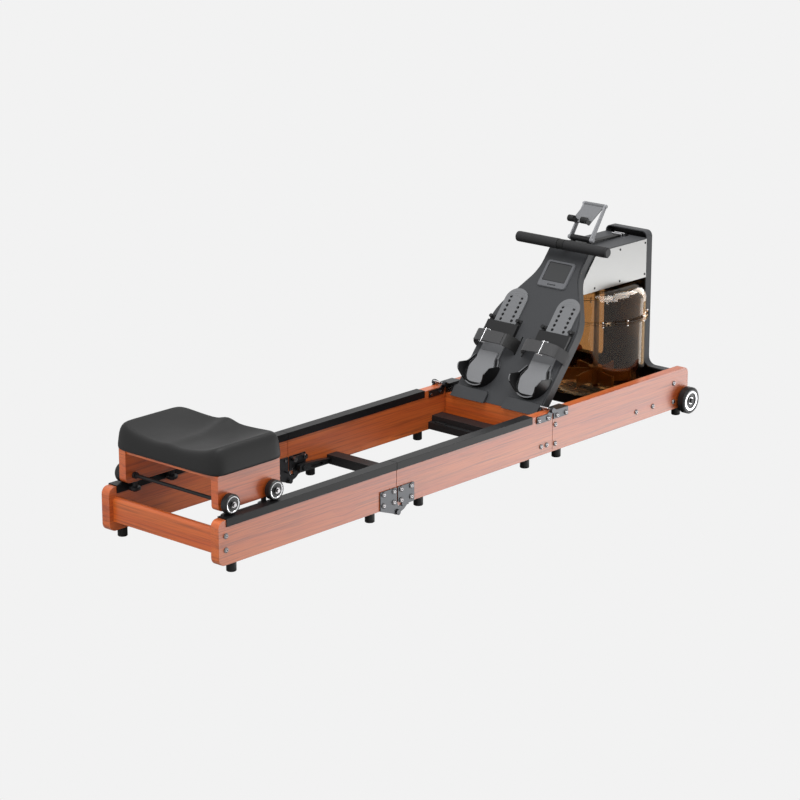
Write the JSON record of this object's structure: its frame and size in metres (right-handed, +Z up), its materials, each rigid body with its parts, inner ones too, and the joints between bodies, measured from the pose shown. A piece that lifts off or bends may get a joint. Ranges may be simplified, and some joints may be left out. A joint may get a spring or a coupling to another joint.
{
  "type": "water rowing machine",
  "caption": "Folding rowing machine: two wooden rails in three hinged sections, rolling padded seat, sloped footboard, upright water tank and pull handle.",
  "frame": {"origin": "on the floor, under the centre of the bounding box", "axes": "+X towards the tank, +Y to the left of someone facing the tank, +Z up"},
  "size_m": [2.023, 0.5098, 0.6556],
  "materials": {
    "cherry_wood": "satin lacquer",
    "black_steel": "satin",
    "dark_steel": "satin",
    "brushed_steel": "brushed",
    "grey_cover": "fine texture",
    "grey_board": "matte",
    "black_rubber": "matte",
    "seat_vinyl": "satin",
    "black_plastic": "satin",
    "smoked_tank": "clear, smoked",
    "chrome_wire": "polished",
    "amber_plastic": "gloss",
    "black_webbing": "woven",
    "monitor_grey": "satin",
    "grey_plastic": "matte",
    "grey_pad": "matte"
  },
  "bodies": {
    "front_frame": {"front_rails": "cherry_wood", "step_crossboard": "cherry_wood", "front_brackets": "black_steel", "front_feet": "black_rubber", "front_bolts": "dark_steel", "saddle_hinges": "dark_steel", "back_cover": "grey_cover", "side_panels": "brushed_steel", "top_plate": "grey_cover", "tower_hardware": "dark_steel", "drive_plate": "dark_steel", "tank_vessel": "smoked_tank", "tank_lid": "smoked_tank", "lid_seal": "black_rubber", "bearing_housing": "dark_steel", "recoil_housing": "black_plastic", "footboard": "grey_board", "monitor": "monitor_grey", "foot_bridges": "black_plastic", "foot_straps": "black_webbing", "strap_buckles": "chrome_wire", "phone_base": "dark_steel", "pull_strap": "black_webbing"},
    "wheel_left": {"transport_wheel_left": "black_plastic"},
    "wheel_right": {"transport_wheel_right": "black_plastic"},
    "impeller": {"impeller": "amber_plastic"},
    "strap_drum": {"strap_drum": "black_plastic"},
    "strap_idler": {"strap_idler": "dark_steel"},
    "handle": {"handle_bar": "dark_steel", "handle_grips": "black_rubber"},
    "phone_arms": {"phone_arms": "dark_steel"},
    "phone_cradle": {"phone_cradle": "dark_steel"},
    "heel_rest_left": {"heel_rest_left": "grey_plastic", "heel_pad_left": "grey_pad"},
    "heel_rest_right": {"heel_rest_right": "grey_plastic", "heel_pad_right": "grey_pad"},
    "middle_frame": {"middle_rails": "cherry_wood", "middle_crossbars": "black_steel", "middle_tracks": "black_steel", "middle_feet": "black_rubber", "middle_bolts": "dark_steel", "middle_hinges": "dark_steel"},
    "bail_left": {"hinge_bail_left": "chrome_wire"},
    "bail_right": {"hinge_bail_right": "chrome_wire"},
    "lock_lever": {"fold_lock_lever": "dark_steel"},
    "rear_frame": {"rear_rails": "cherry_wood", "rear_crossboard": "cherry_wood", "rear_tracks": "black_steel", "rear_feet": "black_rubber", "rear_bolts": "dark_steel", "rear_hinges": "dark_steel"},
    "seat_carriage": {"seat_cushion": "seat_vinyl", "carriage_frame": "cherry_wood", "roller_axles": "dark_steel"},
    "rollers_rear": {"seat_rollers_rear": "black_plastic"},
    "rollers_front": {"seat_rollers_front": "black_plastic"},
    "guide_rear_left": {"guide_wheel_rear_left": "black_plastic"},
    "guide_rear_right": {"guide_wheel_rear_right": "black_plastic"},
    "guide_front_left": {"guide_wheel_front_left": "black_plastic"},
    "guide_front_right": {"guide_wheel_front_right": "black_plastic"}
  },
  "joints": [
    {"name": "front_fold", "type": "hinge", "parent": "front_frame", "child": "middle_frame", "pos_m": [0.3235, 0, 0.153], "axis": [0, 1, 0], "range_deg": [0, 90]},
    {"name": "rear_fold", "type": "hinge", "parent": "middle_frame", "child": "rear_frame", "pos_m": [-0.3379, 0, 0.009], "axis": [0, -1, 0], "range_deg": [0, 165]},
    {"name": "seat_slide", "type": "slide", "parent": "rear_frame", "child": "seat_carriage", "axis": [1, 0, 0], "range_m": [0, 0.95]},
    {"name": "rear_rollers_spin", "type": "hinge", "parent": "seat_carriage", "child": "rollers_rear", "pos_m": [-0.9475, 0, 0.177], "axis": [0, 1, 0], "continuous": true},
    {"name": "front_rollers_spin", "type": "hinge", "parent": "seat_carriage", "child": "rollers_front", "pos_m": [-0.7895, 0, 0.177], "axis": [0, 1, 0], "continuous": true},
    {"name": "guide_rear_left_spin", "type": "hinge", "parent": "seat_carriage", "child": "guide_rear_left", "pos_m": [-0.9355, 0.1731, 0.131], "axis": [0, 0, 1], "continuous": true},
    {"name": "guide_rear_right_spin", "type": "hinge", "parent": "seat_carriage", "child": "guide_rear_right", "pos_m": [-0.9355, -0.1731, 0.131], "axis": [0, 0, 1], "continuous": true},
    {"name": "guide_front_left_spin", "type": "hinge", "parent": "seat_carriage", "child": "guide_front_left", "pos_m": [-0.8015, 0.1731, 0.131], "axis": [0, 0, 1], "continuous": true},
    {"name": "guide_front_right_spin", "type": "hinge", "parent": "seat_carriage", "child": "guide_front_right", "pos_m": [-0.8015, -0.1731, 0.131], "axis": [0, 0, 1], "continuous": true},
    {"name": "wheel_left_spin", "type": "hinge", "parent": "front_frame", "child": "wheel_left", "pos_m": [0.9705, 0, 0.047], "axis": [0, 1, 0], "continuous": true},
    {"name": "wheel_right_spin", "type": "hinge", "parent": "front_frame", "child": "wheel_right", "pos_m": [0.9705, 0, 0.047], "axis": [0, 1, 0], "continuous": true},
    {"name": "impeller_spin", "type": "hinge", "parent": "front_frame", "child": "impeller", "pos_m": [0.81267, 0, 0.2], "axis": [0, 0, 1], "continuous": true},
    {"name": "handle_pull", "type": "slide", "parent": "front_frame", "child": "handle", "axis": [-1, 0, 0], "range_m": [0, 1], "stiffness_N_per_m": 20, "springref_m": -1, "deforming": ["pull_strap"]},
    {"name": "strap_drum_spin", "type": "hinge", "parent": "front_frame", "child": "strap_drum", "pos_m": [0.81267, 0, 0.464], "axis": [0, 0, 1], "continuous": true},
    {"name": "strap_idler_spin", "type": "hinge", "parent": "front_frame", "child": "strap_idler", "pos_m": [0.9355, 0, 0.529], "axis": [0, 1, 0], "continuous": true},
    {"name": "phone_arm_tilt", "type": "hinge", "parent": "front_frame", "child": "phone_arms", "pos_m": [0.72931, 0, 0.557], "axis": [0, 1, 0], "range_deg": [-45, 15]},
    {"name": "phone_cradle_tilt", "type": "hinge", "parent": "phone_arms", "child": "phone_cradle", "pos_m": [0.79413, 0, 0.64956], "axis": [0, 1, 0], "range_deg": [-20, 60]},
    {"name": "heel_left_slide", "type": "slide", "parent": "front_frame", "child": "heel_rest_left", "axis": [0.6401, 0, 0.7683], "range_m": [0, 0.0465]},
    {"name": "heel_right_slide", "type": "slide", "parent": "front_frame", "child": "heel_rest_right", "axis": [0.6401, 0, 0.7683], "range_m": [0, 0.0465]},
    {"name": "bail_left_tilt", "type": "hinge", "parent": "middle_frame", "child": "bail_left", "pos_m": [0.3235, 0, 0.153], "axis": [0, 1, 0], "range_deg": [0, 55]},
    {"name": "bail_right_tilt", "type": "hinge", "parent": "middle_frame", "child": "bail_right", "pos_m": [0.3235, 0, 0.153], "axis": [0, 1, 0], "range_deg": [0, 55]},
    {"name": "lock_lever_tilt", "type": "hinge", "parent": "middle_frame", "child": "lock_lever", "pos_m": [-0.2935, 0, 0.04], "axis": [0, -1, 0], "range_deg": [0, 25]}
  ],
  "couplings": [
    {"joint": "rear_rollers_spin", "follows": "seat_slide", "rad_per_m": 37.037},
    {"joint": "front_rollers_spin", "follows": "seat_slide", "rad_per_m": 37.037},
    {"joint": "guide_rear_left_spin", "follows": "seat_slide", "rad_per_m": 62.5},
    {"joint": "guide_front_left_spin", "follows": "seat_slide", "rad_per_m": 62.5},
    {"joint": "guide_rear_right_spin", "follows": "seat_slide", "rad_per_m": -62.5},
    {"joint": "guide_front_right_spin", "follows": "seat_slide", "rad_per_m": -62.5},
    {"joint": "strap_drum_spin", "follows": "handle_pull", "rad_per_m": -32.051},
    {"joint": "strap_idler_spin", "follows": "handle_pull", "rad_per_m": -98.039}
  ]
}
